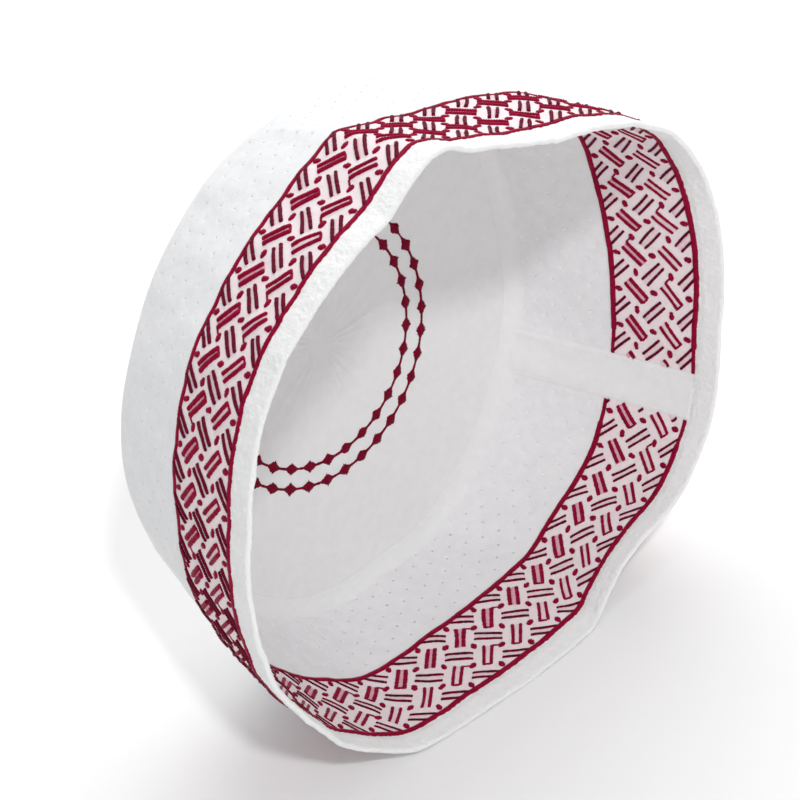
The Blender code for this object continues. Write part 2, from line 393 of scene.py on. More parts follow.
        along = base(angle + self.angle_step, drop) - base(angle - self.angle_step, drop)
        across = base(angle, drop + self.drop_step) - base(angle, drop - self.drop_step)
        normal = np.cross(along, across)
        normal /= np.linalg.norm(normal, axis=-1, keepdims=True)
        points = base(angle, drop) + normal * (self.ripple(angle, drop) - depth)[..., None]
        points[..., 2] = np.maximum(points[..., 2], 0.0)
        return points

    def on_wall(self, way: Array, drop: Array, depth: Array) -> Array:
        """Points of the wall's cloth by their way along it."""
        return self.wall(self.angle_at(way, drop), drop, depth)

    def on_crown(self, angle: Array, radius: Array, depth: Array) -> Array:
        """Give points of the crown's cloth.

        Args:
            angle: Angles round the axis in degrees.
            radius: Distances from the crown's middle.
            depth: How far inwards from the outer face.

        Returns:
            The points, none of them below the floor.
        """
        share = radius / self.crown_edge(angle)
        y = self.crown_dome * (1 - share**3) - depth
        points = self.lay_down(angle, self.press(radius, self.floor_radius(angle, y)), y)
        points[..., 2] = np.maximum(points[..., 2], 0.0)
        return points


def linear(hex_colour: str) -> tuple[float, float, float, float]:
    """Turn an sRGB hex colour to linear.

    Args:
        hex_colour: Six hex digits after a hash sign.

    Returns:
        Linear red, green, blue and an alpha of 1.
    """
    parts = [int(hex_colour[i : i + 2], 16) / 255 for i in (1, 3, 5)]
    red, green, blue = (c / 12.92 if c <= 0.04045 else ((c + 0.055) / 1.055) ** 2.4 for c in parts)
    return red, green, blue, 1.0


def add_node(
    tree: bpy.types.NodeTree,
    kind: str,
    settings: dict[str, object] | None = None,
    values: dict[str | int, object] | None = None,
    links: dict[str | int, bpy.types.NodeSocket] | None = None,
) -> bpy.types.Node:
    """Add a node with its settings and links.

    Args:
        tree: The node tree.
        kind: The node's type.
        settings: The node's own properties.
        values: What its sockets hold, by name or place.
        links: The sockets that feed its own, by name or place.

    Returns:
        The node.
    """
    node = tree.nodes.new(kind)
    for name, value in (settings or {}).items():
        setattr(node, name, value)
    for socket, value in (values or {}).items():
        node.inputs[socket].default_value = value
    for socket, source in (links or {}).items():
        tree.links.new(source, node.inputs[socket])
    return node


def empty_material(name: str) -> bpy.types.Material:
    """Start a material.

    Args:
        name: Its name.

    Returns:
        The material, whose node tree is still empty.
    """
    made = bpy.data.materials.new(name)
    made.use_nodes = True
    made.node_tree.nodes.clear()
    return made


MIX_FACTOR, MIX_A, MIX_B, MIX_RESULT = 0, 6, 7, 2  # a colour mix node's sockets by place
WAVE_PERIOD = math.pi / 10  # of a wave texture at scale 1
WAVE_DETAIL = 1.0
COARSE_DETAIL, FINE_DETAIL = 2.0, 3.0  # octaves of noise


@dataclass(frozen=True)
class CottonCloth:
    """Woven cotton. Its yarns cross over and under, and its slubs make it faintly uneven."""

    name: str
    light: str
    shade: str
    yarn_mm: float = 0.9  # real yarns are 0.3 mm, drawn this coarse so that they show
    weave_mm: float = 0.016
    slub_mm: float = 3.2
    slub_depth_mm: float = 0.13
    fluff_mm: float = 0.8
    fluff_depth_mm: float = 0.04
    yarn_sway: float = 0.6  # how crooked the yarns are
    noise_roughness: float = 0.6
    roughness: float = 0.92
    sheen: float = 0.12
    sheen_roughness: float = 0.5
    specular: float = 0.25

    def make(self) -> bpy.types.Material:
        """Build the material.

        Returns:
            The material, with the weave from the cloth's own map and the slubs from its place.
        """
        made = empty_material(self.name)
        tree = made.node_tree
        cloth = add_node(tree, "ShaderNodeUVMap", {"uv_map": CLOTH_MAP}).outputs["UV"]
        place = add_node(tree, "ShaderNodeTexCoord").outputs["Object"]
        warp, weft = (
            add_node(
                tree,
                "ShaderNodeTexWave",
                {"wave_type": "BANDS", "bands_direction": way},
                {"Scale": WAVE_PERIOD / self.yarn_mm, "Distortion": self.yarn_sway, "Detail": WAVE_DETAIL},
                {"Vector": cloth},
            ).outputs["Fac"]
            for way in ("X", "Y")
        )
        weave = add_node(tree, "ShaderNodeMath", {"operation": "MULTIPLY"}, links={0: warp, 1: weft})
        slubs, fluff = (
            add_node(
                tree,
                "ShaderNodeTexNoise",
                values={"Scale": 1 / (size * MM), "Detail": detail, "Roughness": self.noise_roughness},
                links={"Vector": place},
            ).outputs["Fac"]
            for size, detail in ((self.slub_mm, COARSE_DETAIL), (self.fluff_mm, FINE_DETAIL))
        )
        colour = add_node(
            tree,
            "ShaderNodeMix",
            {"data_type": "RGBA"},
            {MIX_A: linear(self.shade), MIX_B: linear(self.light)},
            {MIX_FACTOR: slubs},
        ).outputs[MIX_RESULT]
        normal = None
        for height, depth in (
            (weave.outputs[0], self.weave_mm),
            (slubs, self.slub_depth_mm),
            (fluff, self.fluff_depth_mm),
        ):
            links = {"Height": height} | ({"Normal": normal} if normal else {})
            bump = add_node(tree, "ShaderNodeBump", values={"Distance": depth * MM}, links=links)
            normal = bump.outputs[0]
        shader = add_node(
            tree,
            "ShaderNodeBsdfPrincipled",
            values={
                "Roughness": self.roughness,
                "Sheen Weight": self.sheen,
                "Sheen Roughness": self.sheen_roughness,
                "Specular IOR Level": self.specular,
            },
            links={"Base Color": colour, "Normal": normal},
        )
        add_node(tree, "ShaderNodeOutputMaterial", links={"Surface": shader.outputs[0]})
        return made


@dataclass(frozen=True)
class SatinThread:
    """Rayon embroidery thread in satin stitch. It has a soft gloss, and gaps that are darker."""

    name: str
    light: str
    dark: str
    strand_mm: float = 0.5  # real strands are 0.2 mm, drawn this coarse so that they show
    strand_depth_mm: float = 0.05
    strand_sway: float = 1.0  # how crooked the strands are
    patch_mm: float = 1.6  # of the patches where the dye took more or less
    roughness: float = 0.42
    sheen: float = 0.15
    sheen_roughness: float = 0.2
    specular: float = 0.06

    def make(self) -> bpy.types.Material:
        """Build the material.

        Returns:
            The material, with strands across the stitch's own length.
        """
        made = empty_material(self.name)
        tree = made.node_tree
        cloth = add_node(tree, "ShaderNodeUVMap", {"uv_map": CLOTH_MAP}).outputs["UV"]
        place = add_node(tree, "ShaderNodeTexCoord").outputs["Object"]
        strands = add_node(
            tree,
            "ShaderNodeTexWave",
            {"wave_type": "BANDS", "bands_direction": "X"},
            {"Scale": WAVE_PERIOD / self.strand_mm, "Distortion": self.strand_sway, "Detail": WAVE_DETAIL},
            {"Vector": cloth},
        ).outputs["Fac"]
        patches = add_node(
            tree,
            "ShaderNodeTexNoise",
            values={"Scale": 1 / (self.patch_mm * MM), "Detail": COARSE_DETAIL},
            links={"Vector": place},
        ).outputs["Fac"]
        colour = add_node(
            tree,
            "ShaderNodeMix",
            {"data_type": "RGBA"},
            {MIX_A: linear(self.dark), MIX_B: linear(self.light)},
            {MIX_FACTOR: patches},
        ).outputs[MIX_RESULT]
        bump = add_node(
            tree,
            "ShaderNodeBump",
            values={"Distance": self.strand_depth_mm * MM},
            links={"Height": strands},
        )
        shader = add_node(
            tree,
            "ShaderNodeBsdfPrincipled",
            values={
                "Roughness": self.roughness,
                "Sheen Weight": self.sheen,
                "Sheen Roughness": self.sheen_roughness,
                "Specular IOR Level": self.specular,
            },
            links={"Base Color": colour, "Normal": bump.outputs[0]},
        )
        add_node(tree, "ShaderNodeOutputMaterial", links={"Surface": shader.outputs[0]})
        return made


# Bleached cotton, washed and starched: bright and matt, with grey only where it is thin
WALL_COTTON = CottonCloth(
    "bleached_pinhole_cotton", light="#F5F5F6", shade="#E6E7E9", slub_mm=3.8, slub_depth_mm=0.26,
)
CROWN_COTTON = CottonCloth("bleached_crown_cotton", light="#F1F2F2", shade="#E7E8E8", yarn_mm=0.8)
SEAM_COTTON = CottonCloth("doubled_seam_cotton", light="#F3F4F4", shade="#EAEBEB")
JOINT_COTTON = CottonCloth("doubled_joint_cotton", light="#F5F5F5", shade="#ECEDED")
# Cotton brushed by wear at the folded edge: a fluffy surface that catches the light
HEM_COTTON = CottonCloth(
    "brushed_hem_cotton", light="#FBFBFB", shade="#EEEFEF", slub_mm=1.3, slub_depth_mm=0.3,
    fluff_mm=0.5, fluff_depth_mm=0.16, sheen=0.2,
)
# White satin ground under the crimson bars, faintly pink where the dye shows through
GROUND_SATIN = CottonCloth(
    "white_satin_ground", light="#F8EFF1", shade="#EEDDE2", yarn_mm=0.7, slub_mm=1.4,
)
# Rayon thread dyed crimson: deep and glossy on top, nearly black between the strands
CRIMSON_SATIN = SatinThread("crimson_satin_thread", light="#AC063C", dark="#6A0424")
# The same crimson thread drawn darker for the whole-row bars: painted shade in place of the satin sheen
# that lightens the other slant
CRIMSON_SATIN_PAINTED_SHADE = SatinThread("crimson_satin_painted_shade", light="#7C0530", dark="#4A0319")
DIAMOND_SATIN = SatinThread("diamond_satin_thread", light="#8E0A30", dark="#5A041C")
# White thread between two crimson bars, stained pink by their dye
PINK_SATIN = SatinThread("pink_stained_thread", light="#EFBDCC", dark="#DB98AC", roughness=0.6)
PALE_SATIN = SatinThread("pale_stained_thread", light="#F6E4E9", dark="#ECCBD4", roughness=0.6)
# Mercerised sewing thread, white and a little glossy
SEWING_THREAD = SatinThread("white_sewing_thread", light="#F5F5F5", dark="#E8E8E8", roughness=0.6)


class MeshParts(NamedTuple):
    """Points, faces and the cloth's own map of a mesh, before it is one."""

    points: Array
    faces: list[list[int]]
    uv: Array


def join_parts(parts: Sequence[MeshParts]) -> MeshParts:
    """Put several meshes into one.

    Args:
        parts: The meshes.

    Returns:
        One mesh that holds them all.
    """
    starts = np.cumsum([0] + [len(part.points) for part in parts])
    faces = [[int(start) + i for i in face] for start, part in zip(starts, parts) for face in part.faces]
    return MeshParts(
        np.concatenate([part.points for part in parts]), faces, np.concatenate([part.uv for part in parts])
    )


def make_piece(
    name: str,
    parts: Sequence[MeshParts],
    finishes: Sequence[bpy.types.Material],
    sharp: float = 50.0,
) -> bpy.types.Object:
    """Make one piece that rides on the cap's body.

    Args:
        name: The piece's name.
        parts: Its meshes, one for each finish.
        finishes: Their materials.
        sharp: The angle in degrees from which an edge is shaded sharp.

    Returns:
        The piece.
    """
    whole = join_parts(parts)
    mesh = bpy.data.meshes.new(name)
    mesh.from_pydata(whole.points.tolist(), [], whole.faces)
    corners = np.empty(len(mesh.loops), np.int32)
    mesh.loops.foreach_get("vertex_index", corners)
    layer = mesh.uv_layers.new(name=CLOTH_MAP)
    layer.data.foreach_set("uv", whole.uv[corners].astype(np.float32).ravel())
    for finish in finishes:
        mesh.materials.append(finish)
    index = np.concatenate([np.full(len(part.faces), n, np.int32) for n, part in enumerate(parts)])
    mesh.polygons.foreach_set("material_index", index)
    mesh.shade_smooth()
    mesh.set_sharp_from_angle(angle=math.radians(sharp))
    mesh.update()
    piece = bpy.data.objects.new(name, mesh)
    bpy.context.scene.collection.objects.link(piece)
    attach(piece, BODY)
    triangles = sum(len(polygon.vertices) - 2 for polygon in mesh.polygons)
    log.info("%s: %d triangles", name, triangles)
    return piece


def grid_faces(rows: int, columns: int, rows_close: bool, columns_close: bool) -> Array:
    """Give the faces of a grid of points, facing out where rows cross columns.

    Args:
        rows: Number of rows, along the cloth.
        columns: Number of columns, across it.
        rows_close: Whether the last row joins the first.
        columns_close: Whether the last column joins the first.

    Returns:
        Four point numbers for each face.
    """
    index = np.arange(rows * columns).reshape(rows, columns)
    if rows_close:
        index = np.vstack([index, index[:1]])
    if columns_close:
        index = np.hstack([index, index[:, :1]])
    corners = (index[:-1, :-1], index[1:, :-1], index[1:, 1:], index[:-1, 1:])
    return np.stack(corners, axis=-1).reshape(-1, 4)


def swept(sections: Array, uv: Array, rows_close: bool) -> MeshParts:
    """Sweep a closed outline along the cloth.

    Args:
        sections: Points, a row for each outline. Each runs out on one face and back on the other.
        uv: The cloth's own map of the points.
        rows_close: Whether the sweep is a ring. Otherwise its two ends are closed.

    Returns:
        The mesh.
    """
    rows, columns, _ = sections.shape
    faces = grid_faces(rows, columns, rows_close, True).tolist()
    if not rows_close:
        last = (rows - 1) * columns
        for j in range(columns // 2 - 1):
            cap = [j, j + 1, columns - 2 - j, columns - 1 - j]
            faces.append(cap)
            faces.append([last + k for k in reversed(cap)])
    return MeshParts(sections.reshape(-1, 3), faces, uv.reshape(-1, 2))


def two_faced(outer: Array, inner: Array, uv: Array) -> MeshParts:
    """Close a sheet from its two faces.

    Args:
        outer: Points of its outer face, a row for each step along the cloth.
        inner: Points of its inner face, in the same order.
        uv: The cloth's own map of either face.

    Returns:
        The mesh.
    """
    sections = np.concatenate([outer, inner[:, ::-1]], axis=1)
    return swept(sections, np.concatenate([uv, uv[:, ::-1]], axis=1), False)


SATIN_SHARP = 70.0  # degrees, from which an edge of a satin stitch is shaded sharp
TOPSTITCH_SHARE = 0.75  # of a topstitch's pitch that shows as thread
STITCH_SIDES = np.array([-1.0, -0.8, 0.0, 0.8, 1.0])  # places across half a stitch's width
STITCH_BULGE = np.array([0.0, 0.72, 1.0, 0.72, 0.0])  # its share of the full height there


@dataclass(frozen=True)
class SatinStitch:
    """One kind of satin stitch: strands laid side by side across its length."""

    length: float
    width: float
    height: float
    strands: int
    outline: Outline = Outline.BAR
    sink: float = 0.05 * MM  # how far its foot lies in the cloth
    valley: float = 0.8  # height between two strands
    notch: float = 0.92  # width between two strands
    ragged: float = 0.09  # how unevenly wide the strands are
    bow: float = 0.0  # how far its middle strays off the straight line between its ends
    least_width: float = 0.12  # of a dot's and a diamond's tips
    end_share: float = 0.97  # of half a bar's length, where its rounded end begins
    end_width: float = 0.7

    def widths(self, share: Array) -> Array:
        """Give the width along the stitch.

        Args:
            share: Shares of its length, 0 to 1.

        Returns:
            Shares of its full width.
        """
        off = np.abs(2 * share - 1)
        if self.outline is Outline.DOT:
            return np.sqrt(np.maximum(1 - off**2, self.least_width))
        if self.outline is Outline.DIAMOND:
            return np.maximum(1 - off, self.least_width)
        return np.where(off > self.end_share, self.end_width, 1.0)

    def lay(self, places: Array, place: Place, flip: bool, draws: np.random.Generator) -> MeshParts:
        """Lay many stitches of this kind.

        Args:
            places: A row for each stitch: along, across, its turn in radians, and the share of its
                full length that it has.
            place: Gives points from along, across and height.
            flip: Whether height goes to the cloth's inner side.
            draws: Draws the small unevenness of hand-guided work.

        Returns:
            The mesh, one closed body for each stitch.
        """
        rings, columns = 2 * self.strands + 1, STITCH_SIDES.size
        share = np.linspace(0.0, 1.0, rings)
        crest = np.where(np.arange(rings) % 2 == 1, 1.0, 0.0)
        count = len(places)
        uneven = 1 + self.ragged * draws.standard_normal((count, rings))
        half = self.width / 2 * self.widths(share) * (self.notch + (1 - self.notch) * crest) * uneven
        high = self.height * np.sqrt(self.widths(share)) * (self.valley + (1 - self.valley) * crest)
        along, across, turn, length = (places[:, k][:, None, None] for k in range(4))
        a = (share - 0.5)[None, :, None] * self.length * length + np.zeros(columns)
        bow = self.bow * draws.standard_normal((count, 1, 1)) * (1 - (2 * share[:, None] - 1) ** 2)
        b = half[:, :, None] * STITCH_SIDES + bow
        rise = high[None, :, None] * STITCH_BULGE - self.sink + 0 * b
        cos, sin = np.cos(turn), np.sin(turn)
        points = place(along + a * cos - b * sin, across + a * sin + b * cos, rise)
        one = grid_faces(rings, columns, False, True).tolist()
        last = (rings - 1) * columns
        one.append(list(range(columns)))
        one.append([last + k for k in reversed(range(columns))])
        if flip:
            one = [face[::-1] for face in one]
        size = rings * columns
        faces = [[n * size + k for k in face] for n in range(count) for face in one]
        uv = np.stack([a, b], axis=-1) / MM
        return MeshParts(points.reshape(-1, 3), faces, uv.reshape(-1, 2))


class HoleRing(NamedTuple):
    """One ring round a pinhole, sunk in the outer and in the inner face."""

    outer_radius: float
    outer_depth: float
    inner_radius: float
    inner_depth: float


class FlatSheet(NamedTuple):
    """A pierced sheet before it is laid on the wall. A point is a way, a drop and a depth."""

    outer: Array
    inner: Array  # as many points as the outer face, in the same order
    faces: Array
    holes: Array  # the points round each hole
    borders: list[tuple[Array, bool]]  # the points along each edge, and whether its faces are turned

    def between(self) -> list[list[int]]:
        """Give the faces between the sheet's two faces, through its holes and along its edges.

        Returns:
            Four point numbers for each face. Those of the inner face come after the outer ones.
        """
        total = len(self.outer)
        faces = []
        for ring in self.holes.tolist():
            pairs = zip(ring, ring[1:] + ring[:1])
            faces += [[a, b, total + b, total + a] for a, b in pairs]
        for line, turned in self.borders:
            points = line.tolist()
            quads = [[a, b, total + b, total + a] for a, b in zip(points, points[1:])]
            faces += [quad[::-1] for quad in quads] if turned else quads
        return faces


# a cell's outline, from its first corner round through the middles of its sides
CELL_OUTLINE = ((0, 0), (1, 0), (2, 0), (2, 1), (2, 2), (1, 2), (0, 2), (0, 1))
CELL_MIDDLE = (1, 1)


@dataclass(frozen=True)
class PinholeWall:
    """The upper part of the wall: white cotton with staggered rows of real pinholes."""

    form: CapForm
    finish: CottonCloth = WALL_COTTON
    cells_along: int = 114
    cells_across: int = 10
    top: float = 2.3 * MM
    tuck: float = 1.6 * MM  # the drop of its upper edge, tucked behind the crown's seam
    thickness: float = 0.9 * MM
    rings: tuple[HoleRing, ...] = (
        HoleRing(1.4 * MM, 0.0, 1.4 * MM, 0.0),
        HoleRing(0.8 * MM, 0.02 * MM, 0.8 * MM, 0.03 * MM),
        HoleRing(0.27 * MM, 0.14 * MM, 0.3 * MM, 0.22 * MM),
    )
    plain_cells: int = 1  # at the band, where the border's stitches leave no room for holes

    def lay_out(self) -> FlatSheet:
        """Lay the pierced sheet out flat.

        Returns:
            The sheet, with a hole in every second cell.
        """
        drops = np.linspace(self.top, self.form.band_top, 2 * self.cells_across + 1)
        drops[0] = self.tuck
        ways = np.linspace(0.0, self.form.length, 2 * self.cells_along + 1)
        way, drop = np.meshgrid(ways, drops, indexing="ij")
        grid = np.stack([way, drop, np.zeros_like(way)], axis=-1).reshape(-1, 3)
        index = np.arange(way.size).reshape(way.shape)
        sides = len(CELL_OUTLINE)
        compass = np.array(CELL_OUTLINE, float) - CELL_MIDDLE
        compass /= np.linalg.norm(compass, axis=1, keepdims=True)
        outer, inner, faces, holes, count = [grid], [grid], [], [], way.size
        for i in range(self.cells_along):
            for j in range(self.cells_across):
                edge = [int(index[2 * i + di, 2 * j + dj]) for di, dj in CELL_OUTLINE]
                if (i + j) % 2 == 0 or j >= self.cells_across - self.plain_cells:
                    centre = int(index[2 * i + 1, 2 * j + 1])
                    faces += [[edge[k], edge[k + 1], centre, edge[k - 1]] for k in range(0, sides, 2)]
                    continue
                middle = np.array([ways[2 * i + 1], drops[2 * j + 1]])
                for size in self.rings:
                    ring = list(range(count, count + sides))
                    for points, radius, depth in (
                        (outer, size.outer_radius, size.outer_depth),
                        (inner, size.inner_radius, size.inner_depth),
                    ):
                        points.append(np.column_stack([middle + radius * compass, np.full(sides, depth)]))
                    following = edge[1:] + edge[:1], ring[1:] + ring[:1]
                    faces += [list(face) for face in zip(edge, *following, ring)]
                    edge, count = ring, count + sides
                holes.append(edge)
        used = np.zeros(count, bool)
        used[[k for face in faces for k in face]] = True
        number = np.cumsum(used) - 1
        borders = [
            (number[index[:, 0]], True),
            (number[index[:, -1]], False),
            (number[index[0]], False),
            (number[index[-1]], True),
        ]
        return FlatSheet(
            np.concatenate(outer)[used], np.concatenate(inner)[used],
            number[np.array(faces)], number[np.array(holes)], borders,
        )

    def build(self) -> bpy.types.Object:
        """Build the wall's cloth.

        Returns:
            The piece, which stands for the solid side_wall.
        """
        flat = self.lay_out()
        way, drop, sunk = flat.inner.T
        points = np.concatenate(
            [self.form.on_wall(*flat.outer.T), self.form.on_wall(way, drop, self.thickness - sunk)]
        )
        back = flat.faces[:, ::-1] + len(flat.outer)
        faces = flat.faces.tolist() + back.tolist() + flat.between()
        uv = np.concatenate([flat.outer[:, :2], flat.inner[:, :2]]) / MM
        cloth = MeshParts(points, faces, uv)
        piece = make_piece("pinhole_wall_cloth", [cloth], [self.finish.make()])
        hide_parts("side_wall")
        self.form.length
        return piece


class BandKinds(NamedTuple):
    """The kinds of satin stitch on one face of the band."""

    whole_bar: SatinStitch
    half_bar: SatinStitch
    upper_bar: SatinStitch
    pad: SatinStitch  # the pale thread between two bars
    cross: SatinStitch
    tail: SatinStitch
    dot: SatinStitch
    border: SatinStitch


@dataclass(frozen=True)
class BasketweaveBand:
    """The embroidered band: satin blocks turned by 45 degrees, each with a pair of crimson bars."""

    form: CapForm
    ground: CottonCloth = GROUND_SATIN
    crimson: SatinThread = CRIMSON_SATIN
    # the crimson thread drawn darker for the whole-row bars: painted shade in place of the satin sheen
    dark: SatinThread = CRIMSON_SATIN_PAINTED_SHADE
    pink: SatinThread = PINK_SATIN
    pale: SatinThread = PALE_SATIN
    ground_thickness: float = 1.1 * MM
    step: float = 0.75 * MM  # of the ground's own mesh
    pitch: float = 11.85 * MM  # from one whole row of blocks to the next, about
    first_column: float = 2.5 * MM
    first_row: float = 4.15 * MM  # from the joint's upper edge to the first whole row
    last_row: float = 9.5 * MM  # from the last whole row to the joint's lower edge
    slack: float = 2.4 * MM  # how far the rows opposite the joint have crept along
    bar_length: float = 8.4 * MM
    bar_spacing: float = 2.25 * MM
    whole_bar_width: float = 0.95 * MM
    half_bar_width: float = 1.1 * MM
    upper_bar_width: float = 1.4 * MM  # in the column of half-row blocks near the upper border
    bar_height: float = 0.5 * MM
    outside_bar_height: float = 0.8 * MM
    outside_boldness: float = 1.15  # the bars are wider on the face that shows when worn
    bar_strands: int = 12
    shortest_bar: float = 1.0 * MM
    bow: float = 0.12 * MM
    stray: float = 0.09 * MM  # how far the stitches stray from the chart
    stray_turn: float = 0.024  # radians
    pad_height: float = 0.2 * MM
    pad_strands: int = 5
    short_strands: int = 3  # of the crosses, tails and dots
    closed_share: float = 0.75  # of the half-row blocks have a cross, a thread over one end
    cross_width: float = 0.8 * MM
    cross_height: float = 0.42 * MM
    cross_inset: float = 0.2 * MM  # from the bars' own ends
    tailed_share: float = 0.35  # of them have a tail, which runs on to the next dot
    tail_length: float = 3.1 * MM
    tail_width: float = 0.7 * MM
    tail_height: float = 0.35 * MM
    tail_place: tuple[float, float] = (0.41, -0.09)  # along and across from the block, in row pitches
    dot_length: float = 2.5 * MM
    dot_width: float = 1.9 * MM
    dot_height: float = 0.6 * MM
    dot_ragged: float = 0.12
    row_dot_turn: float = -0.2  # radians, of the dots in the rows of whole blocks
    half_row_dot_turn: float = math.pi / 2 + 0.25
    border_width: float = 2.0 * MM
    outside_border_width: float = 1.65 * MM
    border_height: float = 0.5 * MM
    border_inset: float = 0.4 * MM  # of the borders' middle lines from the band's edges
    border_strand: float = 0.9 * MM
    border_valley: float = 0.9
    border_notch: float = 0.96
    border_ragged: float = 0.03
    pillow: float = 0.16 * MM
    pillow_fade: float = 1.5 * MM  # over which the pillows go flat at the borders
    seed: int = 11

    @property
    def row_pitch(self) -> float:
        """The pitch that fits a whole number of rows between the two ends of the band."""
        run = self.form.length - self.first_row - self.last_row
        return run / round(run / self.pitch)

    def creep(self, along: Array) -> Array:
        """How far the rows have crept along the band, nothing at the joint and most opposite it."""
        return self.slack * np.sin(math.pi * along / self.form.length) ** 2

    def chart(self, half_row: bool, half_column: bool) -> Array:
        """Chart one kind of place in the repeat.

        Args:
            half_row: Whether the places lie halfway between two rows of blocks.
            half_column: Whether they lie halfway between two columns.

        Returns:
            A row for each place: along and across.
        """
        q = self.row_pitch
        rows = self.first_row + q * (np.arange(-1, round(self.form.length / q) + 2) + half_row / 2)
        columns = self.first_column + q * (np.arange(3 - half_column) + half_column / 2)
        along, across = np.meshgrid(rows, columns, indexing="ij")
        return np.stack([along + self.creep(along), across], axis=-1).reshape(-1, 2)

    def trimmed(self, chart: Array, turn: Array, length: float) -> Array:
        """Cut stitches short at the band's borders and at its two ends.

        Args:
            chart: A row for each stitch: along and across.
            turn: Their turns in radians.
            length: Their full length.

        Returns:
            A row for each stitch that is left, as SatinStitch.lay takes them.
        """
        way = np.stack([np.cos(turn), np.sin(turn)], axis=-1)
        low = np.array([0.0, self.border_inset])
        high = np.array([self.form.length, self.form.band_width - self.border_inset])
        ends = np.sort(np.stack([(low - chart) / way, (high - chart) / way]), axis=0)
        start = np.maximum(ends[0].max(axis=1), -length / 2)
        stop = np.minimum(ends[1].min(axis=1), length / 2)
        middle = chart + way * ((start + stop) / 2)[:, None]
        rows = np.column_stack([middle, turn, (stop - start) / length])
        return rows[stop - start > self.shortest_bar]

    def face(self, side: Side) -> Place:
        """Choose the face of the cloth.

        Args:
            side: The face.

        Returns:
            The function that gives points from along, across the band, and height above the face.
        """
        top = self.form.band_top

        def place(along: Array, across: Array, rise: Array) -> Array:
            """Give points above the chosen face.

            Args:
                along: Ways along the band.
                across: Ways across it from its upper border.
                rise: Heights above the ground.

            Returns:
                The points.
            """
            lift = rise + self.relief(along, across)
            depth = -lift if side is Side.OUTSIDE else self.ground_thickness + lift
            return self.form.on_wall(along, top + across, depth)

        return place

    def relief(self, along: Array, across: Array) -> Array:
        """Give the soft pillow of each satin block.

        Args:
            along: Ways along the band.
            across: Ways across it from its upper border.

        Returns:
            How far the ground stands up.
        """
        q = self.row_pitch
        row = along - self.creep(along) - self.first_row
        s = (row + across - self.first_column) / q
        t = (row - across + self.first_column) / q
        off_s, off_t = (2 * (c - np.round(c)) for c in (s, t))
        fade = np.clip(np.minimum(across, self.form.band_width - across) / self.pillow_fade, 0.0, 1.0)
        return self.pillow * (1 - off_s**4) * (1 - off_t**4) * fade

    def build_ground(self) -> bpy.types.Object:
        """Build the white satin ground.

        Returns:
            The piece, which stands for the solid embroidered_band.
        """
        rows = round(self.form.length / self.step) + 1
        columns = round(self.form.band_width / self.step) + 1
        along, across = np.meshgrid(
            np.linspace(0.0, self.form.length, rows),
            np.linspace(0.0, self.form.band_width, columns),
            indexing="ij",
        )
        flat = np.zeros_like(along)
        outer = self.face(Side.OUTSIDE)(along, across, flat)
        inner = self.face(Side.INSIDE)(along, across, flat)
        uv = np.stack([along, across], axis=-1) / MM
        piece = make_piece(
            "basketweave_ground", [two_faced(outer, inner, uv)], [self.ground.make()]
        )
        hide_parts("embroidered_band")
        return piece

    def kinds(self, side: Side) -> BandKinds:
        """Work out the kinds of stitch of one face.

        Args:
            side: The face.

        Returns:
            The kinds.
        """
        outside = side is Side.OUTSIDE
        bold = self.outside_boldness if outside else 1.0
        height = self.outside_bar_height if outside else self.bar_height
        bar = SatinStitch(
            self.bar_length, self.whole_bar_width * bold, height, self.bar_strands, bow=self.bow
        )
        pad_width = self.bar_spacing - self.whole_bar_width / 2
        return BandKinds(
            whole_bar=bar,
            half_bar=replace(bar, width=self.half_bar_width * bold),
            upper_bar=replace(bar, width=self.upper_bar_width * bold),
            pad=SatinStitch(self.bar_length, pad_width, self.pad_height, self.pad_strands),
            cross=SatinStitch(self.bar_spacing, self.cross_width, self.cross_height, self.short_strands),
            tail=SatinStitch(self.tail_length, self.tail_width, self.tail_height, self.short_strands),
            dot=SatinStitch(
                self.dot_length, self.dot_width, self.dot_height, self.short_strands, Outline.DOT,
                ragged=self.dot_ragged,
            ),
            border=SatinStitch(
                self.form.length, self.outside_border_width if outside else self.border_width,
                self.border_height, round(self.form.length / self.border_strand),
                valley=self.border_valley, notch=self.border_notch, ragged=self.border_ragged,
            ),
        )

    def laid(
        self,
        stitch: SatinStitch,
        chart: Array,
        turn: float,
        shift: float = 0.0,
        *,
        side: Side,
        draws: np.random.Generator,
    ) -> MeshParts:
        """Lay one stitch at each place, a little astray, and cut short where the band ends.

        Args:
            stitch: The kind of stitch.
            chart: The places.
            turn: Its turn in radians.
            shift: How far it lies off the place, across its own direction.
            side: The face that it lies on.
            draws: Draws how far each one strays.

        Returns:
            The mesh.
        """
        move = shift * np.array([-math.sin(turn), math.cos(turn)])
        jitter = draws.normal(0.0, self.stray, chart.shape)
        tilt = turn + draws.normal(0.0, self.stray_turn, len(chart))
        places = self.trimmed(chart + move + jitter, tilt, stitch.length)
        return stitch.lay(places, self.face(side), side is Side.INSIDE, draws)

